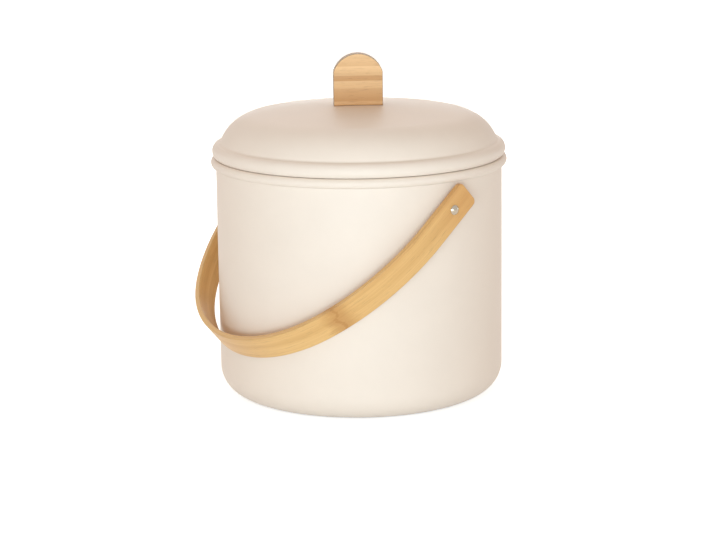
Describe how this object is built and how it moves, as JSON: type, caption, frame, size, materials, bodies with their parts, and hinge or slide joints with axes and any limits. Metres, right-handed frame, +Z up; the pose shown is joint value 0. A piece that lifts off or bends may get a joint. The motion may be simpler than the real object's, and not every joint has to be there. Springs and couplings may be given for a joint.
{
  "type": "compost caddy",
  "caption": "Round steel kitchen compost caddy with a bamboo bail handle, a lift-off domed lid with a charcoal filter, and a removable inner bucket.",
  "frame": {"origin": "centre of the base, on the surface that the caddy stands on", "axes": "+Z up; +X along the handle's pivots, towards the right-hand rivet; at rest the handle leans on the -Y side"},
  "size_m": [0.2194, 0.2194, 0.2384],
  "materials": {
    "cream_paint": "satin powder coat",
    "bamboo_strip": "fine-grained, clear matt lacquer",
    "bamboo_block": "laminated, toasted, oiled",
    "rivet_steel": "polished",
    "zinc_steel": "zinc plated",
    "cream_plastic": "fine matt",
    "ring_plastic": "fine matt",
    "seal_silicone": "matt silicone",
    "filter_plastic": "fine spark texture",
    "charcoal_felt": "needled felt",
    "bucket_plastic": "satin moulded"
  },
  "bodies": {
    "caddy": {"pail_shell": "cream_paint", "rivet_right": "rivet_steel", "rivet_left": "rivet_steel", "spacer_right": "cream_plastic", "spacer_left": "cream_plastic", "rivet_washer_right": "zinc_steel", "rivet_washer_left": "zinc_steel"},
    "handle": {"handle_strip": "bamboo_strip"},
    "liner": {"liner_bucket": "bucket_plastic", "liner_grip_front": "bucket_plastic", "liner_grip_back": "bucket_plastic"},
    "lid": {"lid_shell": "cream_paint", "knob": "bamboo_block", "knob_screw_a": "zinc_steel", "knob_screw_b": "zinc_steel", "screw_washer_a": "zinc_steel", "screw_washer_b": "zinc_steel", "lid_collar": "ring_plastic", "seal_ring": "seal_silicone", "filter_holder": "filter_plastic"},
    "filter_cover": {"filter_cover": "filter_plastic", "charcoal_filter": "charcoal_felt"}
  },
  "joints": [
    {"name": "handle_swing", "type": "hinge", "parent": "caddy", "child": "handle", "pos_m": [0, 0, 0.1436], "axis": [-1, 0, 0], "range_deg": [0, 263]},
    {"name": "liner_lift", "type": "slide", "parent": "caddy", "child": "liner", "axis": [0, 0, 1], "range_m": [0, 0.17]},
    {"name": "lid_lift", "type": "slide", "parent": "liner", "child": "lid", "axis": [0, 0, 1], "range_m": [0, 0.12]},
    {"name": "cover_turn", "type": "hinge", "parent": "lid", "child": "filter_cover", "pos_m": [0, 0, 0.186], "axis": [0, 0, 1], "range_deg": [0, 20]}
  ]
}
